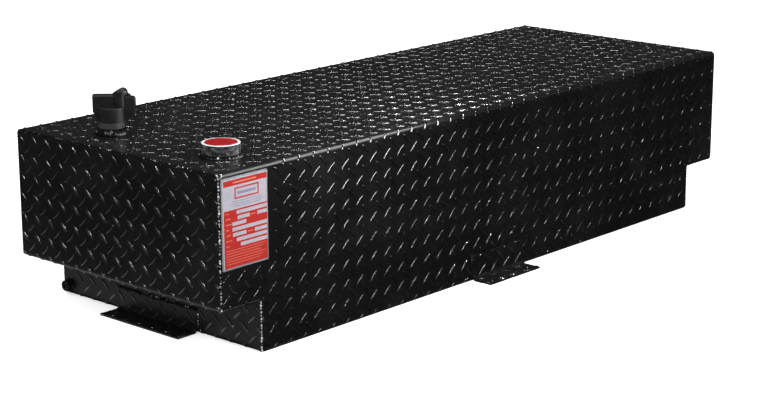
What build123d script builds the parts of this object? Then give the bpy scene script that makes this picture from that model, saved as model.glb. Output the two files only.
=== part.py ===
from build123d import *

import os

# Truck bed transfer tank: a tread plate fuel tank, T-shaped in side view, with
# mounting feet, a pump port, a drain and a locking filler cap.
# Millimetres, +Z up, origin at the bottom centre, +X along the length, front at -Y.

# Tank body
tank_length = 1422.4
tank_width = 508.0
tank_height = 317.5
step_height = 88.9
end_step = 88.9
sheet = 3.2
top_bend = 4.8
belly_bend = 3.2
past_part = 40.0

# Baffles inside the tank
baffle_offset = 237.0
baffle_flange = 26.0
surge_hole_radius = 52.0
surge_hole_y = 112.0
corner_notch = 26.0

# Mounting feet, folded from the same plate
foot_bend = 6.4
front_foot_length = 146.0
front_foot_leg = 48.0
front_foot_flange = 45.0
front_foot_from_middle = -8.0
end_foot_length = 200.0
end_foot_leg = 40.0
end_foot_flange = 46.0
bead_reach = 4.5
stitch_gap = 16.0

# Filler neck, set in from the left end and from the back
filler_from_left = 85.0
filler_from_back = 155.0
neck_radius = 22.5
neck_wall = 3.2
neck_height = 34.5
neck_below = 2.0
neck_rim_chamfer = 0.8
neck_bead = 7.5
neck_bead_rise = 12.0
weld_gap = 0.2
bead_hollow = 0.4
bead_crown = 0.58

# Pump port, set in from the left end and from the front
port_from_left = 96.0
port_from_front = 94.0
port_radius = 32.5
port_bore = 27.4
port_height = 22.6
port_below = 8.0
port_bead = 5.5
port_rim_chamfer = 1.0

# Port plug, a red moulded cup pressed down flush with the port's rim
plug_clearance = 0.3
plug_depth = 14.0
plug_wall = 2.4
plug_proud = 0.8
plug_rib = 2.0

# Drain fitting in the left lower end
drain_from_back = 15.0
drain_height = 16.5
drain_radius = 10.0
drain_bore = 6.2
drain_reach = 10.5
drain_inside = 12.0
drain_bead = 3.0
drain_rim_chamfer = 0.6
drain_plug_clearance = 0.15
drain_plug_proud = 1.5
drain_plug_depth = 9.0
drain_socket = 6.35
drain_socket_depth = 6.0

# Label plate on the front, near the left corner
label_width = 103.0
label_height = 152.0
label_thickness = 0.8
label_from_left = 4.5
label_corner = 2.5
label_below_bend = 0.5

# Filler cap: outer shell with two grip ears, on an insert that seals the neck
cap_turn = -47.8
skirt_low = 24.0
skirt_wall = 1.65
skirt_clearance = 0.35
gasket_height = 2.0
insert_flange = 3.0
insert_clearance = 0.35
insert_wall = 2.75
insert_depth = 18.0
shell_room = 4.5
shell_plate = 3.5
running = 0.05
stud_radius = 3.0
stud_floor = 4.0
nut_height = 1.2
nut_lift = 1.3
nut_radius = 4.7
stud_past_nut = 1.5
hub_rim = 1.5
pivot_bore = 5.0
pivot_plug_height = 3.3
bush_radius = 7.0
bush_gap = 0.3

# Grip ears, seen square on: the left one is a block, the right one is rounded
ear_left = 31.3
ear_right = 41.6
ear_thickness = 16.0
grip_top = 69.0
right_ear_top = 65.2
left_ear_low = 31.0
left_ear_corner = 39.0
right_ear_low = 26.0
ear_edge = 1.2
ear_top_round = 4.0
left_ear_round = 3.0
right_ear_round = 6.0
right_ear_taper = 8.0

# Lock, beside the cap's axis, under a hinged dome
lock_x = 14.4
lock_radius = 6.0
lock_boss_radius = 11.5
lock_boss_edge = 0.8
lock_below_top = 0.7
lock_edge = 0.5
lock_tail = 3.0
cam_seat = 2.2
cam_wall = 1.6
cam_nose = 2.0
cam_height = 1.5
cam_below_plate = 0.5
cam_reach = 6.3
key_slot_length = 7.5
key_slot_width = 1.6
key_slot_depth = 4.0
dome_x = 16.0
dome_radius = 13.2
dome_height = 11.0
dome_round = 7.0
dome_fall = 1.6
dome_crest = 5.0
dome_lip = 1.0
dome_lift = 0.4
dome_wall = 1.6
pin_x = 30.7
pin_z = 66.1
pin_radius = 1.25
knuckle_radius = 2.6
lug_half = 3.6
lug_clearance = 0.3
lug_rise = 1.2

# Vent valve, a rubber umbrella in the insert's roof
vent_x = -12.0
vent_stem = 1.5
vent_disc = 4.0
vent_disc_height = 1.0
vent_bulb = 2.3
vent_bulb_height = 2.0

top_z = tank_height
inner_half_width = tank_width / 2 - sheet
inner_top = tank_height - sheet
lower_end_x = -(tank_length / 2 - end_step)
filler_at = (-tank_length / 2 + filler_from_left, tank_width / 2 - filler_from_back)
port_at = (-tank_length / 2 + port_from_left, -tank_width / 2 + port_from_front)
neck_bore = neck_radius - neck_wall
gasket_z = neck_height
flange_z = gasket_z + gasket_height
roof_z = flange_z + insert_flange
plate_z = roof_z + shell_room
hub_top = plate_z + shell_plate
skirt_bore = neck_radius + skirt_clearance
hub_radius = skirt_bore + skirt_wall
flange_radius = neck_radius - weld_gap
foot_outer_bend = foot_bend + sheet
swing_radius = knuckle_radius + lug_clearance


def drum(radius, low, high, x=0.0, y=0.0):
    """An upright cylinder between two heights."""
    return Pos(x, y, low) * extrude(Circle(radius), high - low)


def tube(outer, inner, low, high, x=0.0, y=0.0):
    """An upright tube between two heights."""
    return Pos(x, y, low) * extrude(Circle(outer) - Circle(inner), high - low)


def slab(x_span, y_span, z_span):
    """A block between three pairs of limits."""
    size = [span[1] - span[0] for span in (x_span, y_span, z_span)]
    middle = [(span[1] + span[0]) / 2 for span in (x_span, y_span, z_span)]
    return Pos(*middle) * Box(*size)


def closed_face(points, radii):
    """A flat face with rounded corners; a radius of 0 leaves a corner sharp."""
    return make_face(FilletPolyline(*points, radius=radii, close=True).edges())


def side_block(inset, top):
    """The tank's side outline moved inwards, as a block right across the width."""
    end = tank_length / 2 - inset
    low_end = end - end_step
    step = step_height + inset
    convex = belly_bend + sheet - inset
    concave = belly_bend + inset
    half = [(end, top), (end, step), (low_end, step), (low_end, inset)]
    half_radii = [0, convex, concave, convex]
    points = [(-x, z) for x, z in half] + half[::-1]
    radii = half_radii + half_radii[::-1]
    face = Plane.XZ * closed_face(points, radii)
    return extrude(face, tank_width / 2, both=True)


def end_block(inset):
    """The tank's end outline moved inwards, as a block along the whole length."""
    half = tank_width / 2 - inset
    high = tank_height - inset
    radius = top_bend + sheet - inset
    points = [(-half, -past_part), (half, -past_part), (half, high), (-half, high)]
    face = Plane.YZ * closed_face(points, [0, 0, radius, radius])
    return extrude(face, tank_length / 2, both=True)


def wrapper_sheet():
    """Front, top and back, folded from one sheet, with holes for neck and port."""
    shell = end_block(0) - end_block(sheet)
    wrapper = side_block(sheet, tank_height) & shell
    wrapper -= drum(neck_radius + weld_gap, inner_top - past_part, top_z + past_part, *filler_at)
    wrapper -= drum(port_radius + weld_gap, inner_top - past_part, top_z + past_part, *port_at)
    return wrapper


def belly_sheet():
    """Both ends, both steps and the bottom, folded from one sheet."""
    band = side_block(0, inner_top) - side_block(sheet, tank_height)
    belly = band & end_block(sheet)
    hole = Cylinder(drain_radius + weld_gap, 6 * sheet)
    return belly - drain_frame() * hole


def seam_welds():
    """The groove round both sheets' edges, filled with a quarter-round bead."""
    envelope = side_block(0, tank_height) & end_block(0)
    half_width = tank_width / 2
    outline = [
        edge
        for edge in envelope.edges()
        if on_side_outline(edge, half_width) or on_end_top(edge)
    ]
    bead = fillet(outline, sheet - weld_gap)
    bead = bead - side_block(sheet, tank_height + past_part) - end_block(sheet)
    across = (-tank_length, tank_length)
    corner = half_width - top_bend - sheet
    front = slab(across, (-half_width - past_part, -corner), (-past_part, tank_height + past_part))
    back = slab(across, (corner, half_width + past_part), (-past_part, tank_height + past_part))
    middle = slab(across, (-corner, corner), (-past_part, tank_height + past_part))
    left_top, right_top = (bead & middle).solids().sort_by(Axis.X)
    return {
        "front_seam_weld": bead & front,
        "back_seam_weld": bead & back,
        "left_top_weld": left_top,
        "right_top_weld": right_top,
    }


def on_side_outline(edge, half_width):
    """True for an edge of the side outline, in the front or back face."""
    box = edge.bounding_box()
    flat = box.max.Y - box.min.Y < 1e-3 and abs(abs(box.min.Y) - half_width) < 1e-3
    top_fold = abs(box.max.Z - box.min.Z) < 1e-3 and box.min.Z > step_height + 2 * sheet
    return flat and not top_fold


def on_end_top(edge):
    """True for an edge round the top of an end face, its two corner arcs included."""
    box = edge.bounding_box()
    at_end = box.max.X - box.min.X < 1e-3 and abs(box.min.X) > tank_length / 2 - 1e-3
    spans_width = box.max.Y - box.min.Y > 1e-3
    return at_end and spans_width and box.max.Z > tank_height - 1e-3


def baffle(side):
    """A flanged surge plate; its flanges lie on the front and back sheets."""
    half = inner_half_width
    reach = baffle_flange
    outer = belly_bend + sheet
    half_points = [(0, half), (reach, half), (reach, half - sheet), (sheet, half - sheet)]
    half_radii = [outer, 0, 0, belly_bend]
    points = [(x, -y) for x, y in half_points] + half_points[::-1]
    face = closed_face(points, half_radii + half_radii[::-1])
    plate = Pos(0, 0, sheet) * extrude(face, inner_top - sheet)
    web = (-sheet, 2 * sheet + reach)
    inner_height = inner_top - sheet
    for y in (-half, half):
        for z in (sheet, inner_top):
            y_span = (y - corner_notch, y + corner_notch)
            plate -= slab(web, y_span, (z - corner_notch, z + corner_notch))
    middle = sheet + inner_height / 2
    for y in (-surge_hole_y, surge_hole_y):
        plate -= Pos(0, y, middle) * Rot(0, 90, 0) * Cylinder(surge_hole_radius, 4 * sheet)
    turn = 0 if side < 0 else 180
    return Pos(side * baffle_offset, 0, 0) * Rot(0, 0, turn) * plate


def ring_bead(radius, reach, height):
    """A weld bead round a tube where it stands on a plate."""
    middle = (radius + bead_hollow * reach, bead_hollow * height)
    edge = ThreePointArc((radius + reach, 0), middle, (radius, height))
    foot = Polyline((radius, height), (radius, 0), (radius + reach, 0))
    face = Plane.XZ * make_face(edge + foot)
    return revolve(face, Axis.Z)


def filler_neck():
    low = -sheet - neck_below
    neck = tube(neck_radius, neck_bore, low, neck_height)
    return chamfer(neck.edges().group_by(Axis.Z)[-1], neck_rim_chamfer)


def port_bung():
    bung = tube(port_radius, port_bore, -sheet - port_below, port_height)
    return chamfer(bung.edges().group_by(Axis.Z)[-1], port_rim_chamfer)


def port_plug():
    """A cup that fills the port's bore, closed on top, with crossed ribs below."""
    radius = port_bore - plug_clearance
    top = port_height + plug_proud
    low = top - plug_depth
    body = drum(radius, low, top)
    body = fillet(body.edges().group_by(Axis.Z)[-1], plug_proud)
    body -= drum(radius - plug_wall, low - 1, top - plug_wall)
    inside = radius - plug_wall / 2
    rib_top = top - plug_wall / 2
    for turn in (0, 90):
        rib = slab((-inside, inside), (-plug_rib / 2, plug_rib / 2), (low + plug_wall, rib_top))
        body += Rot(0, 0, turn + 45) * rib
    return body


def drain_frame():
    """The drain's frame: local +Z points out of the left lower end."""
    place = (lower_end_x, tank_width / 2 - drain_from_back, drain_height)
    return Pos(*place) * Rot(0, -90, 0)


def drain_coupling():
    body = tube(drain_radius, drain_bore, -drain_inside, drain_reach)
    return chamfer(body.edges().group_by(Axis.Z)[-1], drain_rim_chamfer)


def drain_plug():
    """A taper plug with a hexagon socket, screwed into the coupling."""
    radius = drain_bore - drain_plug_clearance
    top = drain_reach + drain_plug_proud
    body = drum(radius, top - drain_plug_depth, top)
    body = chamfer(body.edges().group_by(Axis.Z)[-1], drain_rim_chamfer)
    hexagon = RegularPolygon(drain_socket / 2, 6, major_radius=False)
    socket = Pos(0, 0, top - drain_socket_depth) * extrude(hexagon, 2 * drain_socket_depth)
    return body - socket


def foot(length, leg, flange):
    """A folded angle: its leg lies on the plane y = 0 and its flange reaches to -Y."""
    points = [(0, 0), (-flange, 0), (-flange, sheet), (-sheet, sheet), (-sheet, leg), (0, leg)]
    face = Plane.YZ * closed_face(points, [foot_outer_bend, 0, 0, foot_bend, 0, 0])
    return extrude(face, length / 2, both=True)


def foot_beads(length, leg, stitched):
    """Beads up both ends of a foot's leg, and stitches along its top edge."""
    rise = leg - foot_outer_bend
    crown, crown_out = bead_crown * bead_reach, bead_crown * sheet
    arc = ThreePointArc((bead_reach, 0), (crown, -crown_out), (0, -sheet))
    corner = make_face(arc + Polyline((0, -sheet), (0, 0), (bead_reach, 0)))
    upright = Pos(length / 2, 0, foot_outer_bend) * extrude(corner, rise)
    beads = [upright, mirror(upright, Plane.YZ)]
    if stitched:
        stitch = (length - 2 * stitch_gap) / 3
        arc = ThreePointArc((0, bead_reach), (-crown_out, crown), (-sheet, 0))
        section = make_face(arc + Polyline((-sheet, 0), (0, 0), (0, bead_reach)))
        bar = extrude(Plane.YZ * section, stitch / 2, both=True)
        for index in (-1, 0, 1):
            beads.append(Pos(index * (stitch + stitch_gap), 0, leg) * bar)
    return Compound(children=[bead.solid() for bead in beads])


def foot_places():
    """Name, frame and sizes of each foot: two on the long sides, two on the ends."""
    front = (front_foot_length, front_foot_leg, front_foot_flange, False)
    end = (end_foot_length, end_foot_leg, end_foot_flange, True)
    half_width = tank_width / 2
    return {
        "front_foot": (Pos(front_foot_from_middle, -half_width, 0), front),
        "back_foot": (Pos(front_foot_from_middle, half_width, 0) * Rot(0, 0, 180), front),
        "left_foot": (Pos(lower_end_x, 0, 0) * Rot(0, 0, -90), end),
        "right_foot": (Pos(-lower_end_x, 0, 0) * Rot(0, 0, 90), end),
    }


def label_plate():
    """A thin plate on the flat of the front, just under the top bend."""
    high = tank_height - top_bend - sheet - label_below_bend
    left = -tank_length / 2 + label_from_left
    face = Plane.XZ * RectangleRounded(label_width, label_height, label_corner)
    plate = extrude(face, label_thickness)
    return Pos(left + label_width / 2, -tank_width / 2, high - label_height / 2) * plate


def cap_insert():
    """The part that seals the neck: a plug, a flange and the stud the shell turns on."""
    plug = neck_bore - insert_clearance
    low = flange_z - insert_depth
    body = drum(flange_radius, flange_z, roof_z) + drum(plug, low, flange_z)
    body -= drum(plug - insert_wall, low - 1, flange_z)
    stud_top = hub_top + stud_floor + nut_lift + nut_height + stud_past_nut
    body += drum(stud_radius, roof_z, stud_top)
    body -= drum(vent_stem + running, flange_z - 1, roof_z + 1, vent_x)
    return body


def vent_valve():
    stem_low = flange_z - vent_bulb_height
    valve = drum(vent_stem, stem_low, roof_z + vent_disc_height, vent_x)
    valve += drum(vent_disc, roof_z, roof_z + vent_disc_height, vent_x)
    valve += drum(vent_bulb, stem_low, flange_z, vent_x)
    return valve


def left_ear():
    """The block from the left ear to the lock: a side outline with a round-topped section."""
    half = ear_thickness / 2
    step_x = pin_x - swing_radius
    outline = [
        (-ear_left, left_ear_corner),
        (-ear_left, grip_top),
        (step_x, grip_top),
        (step_x, left_ear_low),
        (-hub_radius, left_ear_low),
    ]
    side = Plane.XZ * closed_face(outline, [left_ear_round, ear_edge, 0, 0, 0])
    section = [(-half, left_ear_low), (half, left_ear_low), (half, grip_top), (-half, grip_top)]
    end = Plane.YZ * closed_face(section, [0, 0, ear_top_round, ear_top_round])
    return extrude(side, half, both=True) & extrude(end, 2 * ear_left, both=True)


def right_ear():
    """The lower, rounded ear behind the hinge."""
    outline = [
        (0, right_ear_low),
        (0, right_ear_top),
        (ear_right, right_ear_top),
        (ear_right, right_ear_low + right_ear_taper),
        (ear_right - right_ear_taper, right_ear_low),
    ]
    side = Plane.XZ * closed_face(outline, [0, 0, right_ear_round, right_ear_round, 0])
    ear = extrude(side, ear_thickness / 2, both=True)
    return fillet(ear.edges().filter_by(Axis.Y, reverse=True), ear_edge)


def cap_shell():
    """The moulded outer cap: skirt, roof, grip ears, lock boss and hinge knuckles."""
    hub = drum(hub_radius, skirt_low, hub_top)
    hub = fillet(hub.edges().group_by(Axis.Z)[-1], hub_rim)
    boss = drum(lock_boss_radius, hub_top - 1, grip_top, lock_x)
    boss = fillet(boss.edges().group_by(Axis.Z)[-1], lock_boss_edge)
    shell = hub + left_ear() + right_ear() + boss
    for side in (-1, 1):
        shell += knuckle(side)
    shell -= drum(skirt_bore, skirt_low - past_part, plate_z)
    shell -= drum(stud_radius + running, plate_z - 1, grip_top)
    shell -= drum(pivot_bore, hub_top + stud_floor, grip_top + 1)
    shell -= drum(lock_radius + running, hub_top, grip_top + 1, lock_x)
    shell -= drum(lock_tail + running, plate_z - 1, hub_top + 1, lock_x)
    lug_room = lug_half + lug_clearance
    slot = (pin_x - swing_radius, pin_x + swing_radius)
    shell -= slab(slot, (-lug_room, lug_room), (pin_z - swing_radius, grip_top + 1))
    shell -= Pos(pin_x, 0, pin_z) * Rot(90, 0, 0) * Cylinder(pin_radius, 2 * ear_thickness)
    return shell


def knuckle(side):
    """One of the two ears that hold the dome's hinge pin."""
    inner = lug_half + lug_clearance
    outer = ear_thickness / 2 - ear_edge
    round_end = Pos(pin_x, pin_z) * Circle(knuckle_radius)
    root = Pos(pin_x, pin_z - knuckle_radius) * Rectangle(2 * knuckle_radius, 2 * knuckle_radius)
    plate = Plane.XZ * (round_end + root)
    return Pos(0, side * (inner + outer) / 2, 0) * extrude(plate, (outer - inner) / 2, both=True)


def lock_cylinder():
    """The key barrel, with a stepped tail that carries the cam."""
    head = grip_top - lock_below_top
    barrel = drum(lock_radius, hub_top + running, head)
    barrel = chamfer(barrel.edges().group_by(Axis.Z)[-1], lock_edge)
    tail_low = plate_z - cam_below_plate - cam_height
    barrel += drum(lock_tail, tail_low + cam_height, hub_top + 1)
    barrel += drum(cam_seat, tail_low, plate_z)
    half_slot = (key_slot_length / 2, key_slot_width / 2)
    slot = [(-half, half) for half in half_slot] + [(head - key_slot_depth, head + 1)]
    barrel -= slab(*slot)
    return Pos(lock_x, 0, 0) * barrel


def lock_cam():
    """A small pear-shaped cam on the barrel's tail."""
    low = plate_z - cam_below_plate - cam_height
    nose = Pos(0, cam_reach - cam_nose) * Circle(cam_nose)
    plate = make_hull((Circle(cam_seat + cam_wall) + nose).edges()) - Circle(cam_seat + running)
    return Pos(lock_x, 0, low) * extrude(plate, cam_height)


def lock_cover():
    """A hollow lid over the lock: domed over the hinge side, sloped to a thumb lip."""
    low = grip_top + dome_lift
    cover = Pos(dome_x, 0, low) * (lid_shape(0) - lid_shape(dome_wall))
    round_end = Pos(pin_x, pin_z) * Circle(knuckle_radius)
    root_x = dome_x + dome_radius - 2 * dome_wall
    web = Polyline(
        (root_x, low),
        (pin_x - knuckle_radius, low),
        (pin_x - knuckle_radius, pin_z),
        (pin_x + knuckle_radius, pin_z),
        (pin_x - lug_rise, low + lug_rise),
        (root_x, low + lug_rise),
        (root_x, low),
    )
    lug = extrude(Plane.XZ * (round_end + make_face(web)), lug_half, both=True)
    bore = Pos(pin_x, 0, pin_z) * Rot(90, 0, 0) * Cylinder(pin_radius + running, 4 * lug_half)
    return cover + lug - bore


def lid_shape(inset):
    """The lid's outer form, or its hollow when moved inwards, on the plane z = 0."""
    radius, height = dome_radius - inset, dome_height - inset
    profile = [(0, 0), (radius, 0), (radius, height - dome_fall), (0, height)]
    dome = revolve(Plane.XZ * closed_face(profile, [0, 0, dome_round - inset, 0]), Axis.Z)
    slope = (dome_height - dome_lip) / (dome_radius + dome_crest)
    far = dome_radius + past_part
    far_z = dome_lip - slope * past_part
    above = Polyline(
        (-far, far_z - inset),
        (dome_crest, dome_height - inset),
        (dome_crest, 2 * dome_height),
        (-far, 2 * dome_height),
        (-far, far_z - inset),
    )
    return dome - extrude(Plane.XZ * make_face(above), far, both=True)


def cover_pin():
    length = ear_thickness - 2 * ear_edge
    return Pos(pin_x, 0, pin_z) * Rot(90, 0, 0) * Cylinder(pin_radius, length)


def cap_pieces():
    """Every piece of the filler cap, in the neck's own frame."""
    nut_z = hub_top + stud_floor + nut_lift
    return {
        "cap_insert": cap_insert(),
        "cap_gasket": tube(flange_radius, neck_bore - insert_clearance + running, gasket_z, flange_z),
        "vent_valve": vent_valve(),
        "pivot_bush": tube(bush_radius, stud_radius + running, roof_z, plate_z - bush_gap),
        "push_nut": tube(nut_radius, stud_radius + running, nut_z, nut_z + nut_height),
        "cap_shell": cap_shell(),
        "pivot_plug": drum(pivot_bore - running, grip_top - pivot_plug_height, grip_top),
        "lock_cylinder": lock_cylinder(),
        "lock_cam": lock_cam(),
        "lock_cover": lock_cover(),
        "cover_pin": cover_pin(),
    }


def all_pieces():
    pieces = {"wrapper_sheet": wrapper_sheet(), "belly_sheet": belly_sheet()}
    pieces.update(seam_welds())
    pieces["left_baffle"] = baffle(-1)
    pieces["right_baffle"] = baffle(1)
    for name, (place, (length, leg, flange, stitched)) in foot_places().items():
        pieces[name] = place * foot(length, leg, flange)
        pieces[name + "_welds"] = place * foot_beads(length, leg, stitched)
    neck_place = Pos(*filler_at, top_z)
    pieces["filler_neck"] = neck_place * filler_neck()
    pieces["neck_weld"] = neck_place * ring_bead(neck_radius, neck_bead, neck_bead_rise)
    port_place = Pos(*port_at, top_z)
    pieces["port_bung"] = port_place * port_bung()
    pieces["bung_weld"] = port_place * ring_bead(port_radius, port_bead, port_bead)
    pieces["port_plug"] = port_place * port_plug()
    pieces["drain_coupling"] = drain_frame() * drain_coupling()
    pieces["drain_weld"] = drain_frame() * ring_bead(drain_radius, drain_bead, drain_bead)
    pieces["drain_plug"] = drain_frame() * drain_plug()
    pieces["label_plate"] = label_plate()
    for name, piece in cap_pieces().items():
        pieces[name] = neck_place * Rot(0, 0, cap_turn) * piece
    return pieces


os.makedirs("parts", exist_ok=True)
for piece_name, piece_shape in all_pieces().items():
    export_step(piece_shape, f"parts/{piece_name}.step")
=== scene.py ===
import math

import bmesh
import bpy
from bpy.props import FloatProperty, FloatVectorProperty, PointerProperty
from mathutils import Matrix, Vector


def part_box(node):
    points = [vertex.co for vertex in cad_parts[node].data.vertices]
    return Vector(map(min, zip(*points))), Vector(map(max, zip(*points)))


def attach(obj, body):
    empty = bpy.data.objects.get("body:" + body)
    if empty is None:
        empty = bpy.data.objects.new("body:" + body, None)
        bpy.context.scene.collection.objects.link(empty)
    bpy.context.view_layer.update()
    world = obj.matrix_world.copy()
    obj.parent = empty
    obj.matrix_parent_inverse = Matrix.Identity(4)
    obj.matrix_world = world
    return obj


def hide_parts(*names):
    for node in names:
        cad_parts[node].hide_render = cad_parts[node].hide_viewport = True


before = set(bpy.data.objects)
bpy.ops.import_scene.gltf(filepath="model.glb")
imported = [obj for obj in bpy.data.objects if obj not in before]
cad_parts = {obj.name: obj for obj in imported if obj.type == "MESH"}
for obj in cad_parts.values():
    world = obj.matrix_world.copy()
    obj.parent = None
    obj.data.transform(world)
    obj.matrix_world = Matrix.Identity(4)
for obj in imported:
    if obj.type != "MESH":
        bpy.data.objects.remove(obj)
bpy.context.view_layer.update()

bl_info = {
    "name": "Transfer Tank",
    "version": (1, 0, 0),
    "blender": (4, 5, 0),
    "location": "3D View > Sidebar > Tank",
    "description": "Dresses a tread plate transfer tank and sets it in a plain studio",
    "category": "Add Mesh",
}

MM = 0.001

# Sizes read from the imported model
SEAM_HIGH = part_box("front_seam_weld")[1]
BELLY_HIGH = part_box("belly_sheet")[1]
HALF_LENGTH = SEAM_HIGH.x
HALF_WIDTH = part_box("wrapper_sheet")[1].y
HEIGHT = SEAM_HIGH.z
SHEET = HALF_WIDTH - BELLY_HIGH.y
LOWER_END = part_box("right_foot")[0].x
END_STEP = HALF_LENGTH - LOWER_END
NECK_LOW, NECK_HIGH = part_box("filler_neck")
PORT_LOW, PORT_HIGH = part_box("port_bung")
DRAIN_LOW, DRAIN_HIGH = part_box("drain_coupling")
NECK_RADIUS = (NECK_HIGH.x - NECK_LOW.x) / 2
PORT_RADIUS = (PORT_HIGH.x - PORT_LOW.x) / 2
DRAIN_RADIUS = (DRAIN_HIGH.y - DRAIN_LOW.y) / 2
NECK_AXIS = Vector(((NECK_LOW.x + NECK_HIGH.x) / 2, (NECK_LOW.y + NECK_HIGH.y) / 2, HEIGHT))
PORT_AXIS = Vector(((PORT_LOW.x + PORT_HIGH.x) / 2, (PORT_LOW.y + PORT_HIGH.y) / 2, HEIGHT))
DRAIN_AXIS = Vector(
    (-LOWER_END, (DRAIN_LOW.y + DRAIN_HIGH.y) / 2, (DRAIN_LOW.z + DRAIN_HIGH.z) / 2)
)

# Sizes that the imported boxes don't give
STEP_HEIGHT = 88.9 * MM
TOP_FOLD = 8.0 * MM
BELLY_FOLD = 6.4 * MM
STEP_FOLD = 3.2 * MM
FOOT_FOLD = 6.4 * MM
UNSTRETCHED = 0.6 * SHEET  # depth of the layer that keeps its length when the sheet is folded

# A place on each flat sheet, across and along, where a lug lies; a foot's is from its corner
WRAPPER_TREAD_START = (9.9 * MM - HALF_LENGTH, HEIGHT - 36.6 * MM)
BELLY_TREAD_START = (-101.9 * MM, 11 * MM)
FOOT_TREAD_START = (9 * MM, 14 * MM)

# How far the lugs stay off the fittings and the label
NECK_CLEARANCE = 7 * MM
PORT_CLEARANCE = 5 * MM
DRAIN_CLEARANCE = 2 * MM
LABEL_CLEARANCE = 0.5 * MM

# How far each bead reaches over the plate and up the fitting
NECK_BEAD = (7.5 * MM, 12.0 * MM)
PORT_BEAD = (5.5 * MM, 5.5 * MM)
DRAIN_BEAD = (3.0 * MM, 3.0 * MM)
FOOT_BEAD = (4.5 * MM, SHEET)
FOOT_STITCH_GAP = 16.0 * MM

# The camera that took the photograph, in the tank's frame
CAMERA_PLACE = Vector((-2.7785, -2.4662, 1.0662))
CAMERA_LOOK = Vector((0.71754, 0.64883, -0.25328))
CAMERA_UP = Vector((0.18986, 0.16766, 0.96739))
CAMERA_LENS = 93.77


def skin(rings, points, closed=False):
    """Faces between rings of points, each ring joined to the one after it."""
    faces = []
    for index in range(rings if closed else rings - 1):
        here, after = index * points, (index + 1) % rings * points
        for step in range(points):
            beside = (step + 1) % points
            faces.append((here + step, here + beside, after + beside, after + step))
    return faces


class FoldPath:
    """A line across a folded sheet: straight runs joined by arcs, walked by length.

    Along an arc the length is that of the unstretched layer, at a depth below the line.
    """

    def __init__(self, points, radii, side, depth=0.0):
        self.side = side
        self.runs = []
        here = Vector(points[0])
        length = 0.0
        for index, radius in enumerate(radii, start=1):
            corner, after = Vector(points[index]), Vector(points[index + 1])
            way_in = (corner - here).normalized()
            way_out = (after - corner).normalized()
            turn = math.atan2(way_in.x * way_out.y - way_in.y * way_out.x, way_in.dot(way_out))
            back = radius * math.tan(abs(turn) / 2)
            straight = (corner - here).length - back
            layer = radius + math.copysign(depth, turn) * side
            self.runs.append((length, here.copy(), way_in, 0.0, layer))
            length += straight
            here = corner - way_in * back
            curve = math.copysign(1 / radius, turn)
            self.runs.append((length, here.copy(), way_in, curve, layer))
            length += abs(turn) * layer
            here = corner + way_out * back
        way = (Vector(points[-1]) - here).normalized()
        self.runs.append((length, here.copy(), way, 0.0, 0.0))
        self.length = length + (Vector(points[-1]) - here).length

    def at(self, distance):
        """The point and the outward normal at that distance along the path."""
        start, here, way, curve, layer = self.runs[0]
        for run in self.runs:
            if distance >= run[0]:
                start, here, way, curve, layer = run
        past = distance - start
        if curve == 0.0:
            left = Vector((-way.y, way.x))
            return here + way * past, left * self.side
        angle = math.copysign(past / layer, curve)
        cosine, sine = math.cos(angle), math.sin(angle)
        heading = Vector((way.x * cosine - way.y * sine, way.x * sine + way.y * cosine))
        centre = here + Vector((-way.y, way.x)) / curve
        left = Vector((-heading.y, heading.x))
        return centre - left / curve, left * self.side


def mesh_piece(name, verts, faces, body, smooth=True, crests=None):
    """A new object in the tank's frame that rides on a body."""
    mesh = bpy.data.meshes.new(name)
    mesh.from_pydata([tuple(vert) for vert in verts], [], faces)
    if crests:
        mesh.attributes.new("crest", "FLOAT", "POINT").data.foreach_set("value", crests)
    mesh.validate()
    outward = bmesh.new()
    outward.from_mesh(mesh)
    bmesh.ops.recalc_face_normals(outward, faces=outward.faces)
    outward.to_mesh(mesh)
    outward.free()
    if smooth:
        mesh.shade_smooth()
    else:
        mesh.shade_flat()
    piece = bpy.data.objects.new(name, mesh)
    bpy.context.scene.collection.objects.link(piece)
    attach(piece, body)
    return piece


def paint(piece, *materials):
    """Gives a piece these materials, in place of any that it has."""
    piece.data.materials.clear()
    for material in materials:
        piece.data.materials.append(material)


# Finishes


def new_finish(name, colour, roughness, **sockets):
    """A material with one principled shader, set by its own sockets."""
    material = bpy.data.materials.new(name)
    material.use_nodes = True
    shader = material.node_tree.nodes["Principled BSDF"]
    shader.inputs["Base Color"].default_value = (*colour, 1.0)
    shader.inputs["Roughness"].default_value = roughness
    for socket, value in sockets.items():
        shader.inputs[socket.replace("_", " ")].default_value = value
    return material, material.node_tree, shader


def own_coordinates(tree, centre=(0.0, 0.0, 0.0)):
    """The piece's own coordinates in metres, counted from a centre."""
    coordinates = tree.nodes.new("ShaderNodeTexCoord")
    shift = tree.nodes.new("ShaderNodeVectorMath")
    shift.operation = "SUBTRACT"
    shift.inputs[1].default_value = centre
    tree.links.new(coordinates.outputs["Object"], shift.inputs[0])
    return shift.outputs[0]


def noise(tree, scale, detail=3.0, roughness=0.5):
    """Noise over the piece's own coordinates."""
    texture = tree.nodes.new("ShaderNodeTexNoise")
    texture.inputs["Scale"].default_value = scale
    texture.inputs["Detail"].default_value = detail
    texture.inputs["Roughness"].default_value = roughness
    tree.links.new(own_coordinates(tree), texture.inputs["Vector"])
    return texture.outputs["Fac"]


def scaled(tree, place, factors):
    """A place with each of its axes multiplied by a factor."""
    node = tree.nodes.new("ShaderNodeVectorMath")
    node.operation = "MULTIPLY"
    node.inputs[1].default_value = factors
    tree.links.new(place, node.inputs[0])
    return node.outputs[0]


def streaks(tree, place, factors, detail):
    """Noise over a place, drawn out along the axes with the smaller factors."""
    texture = tree.nodes.new("ShaderNodeTexNoise")
    texture.inputs["Scale"].default_value = 1.0
    texture.inputs["Detail"].default_value = detail
    tree.links.new(scaled(tree, place, factors), texture.inputs["Vector"])
    return texture.outputs["Fac"]


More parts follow.
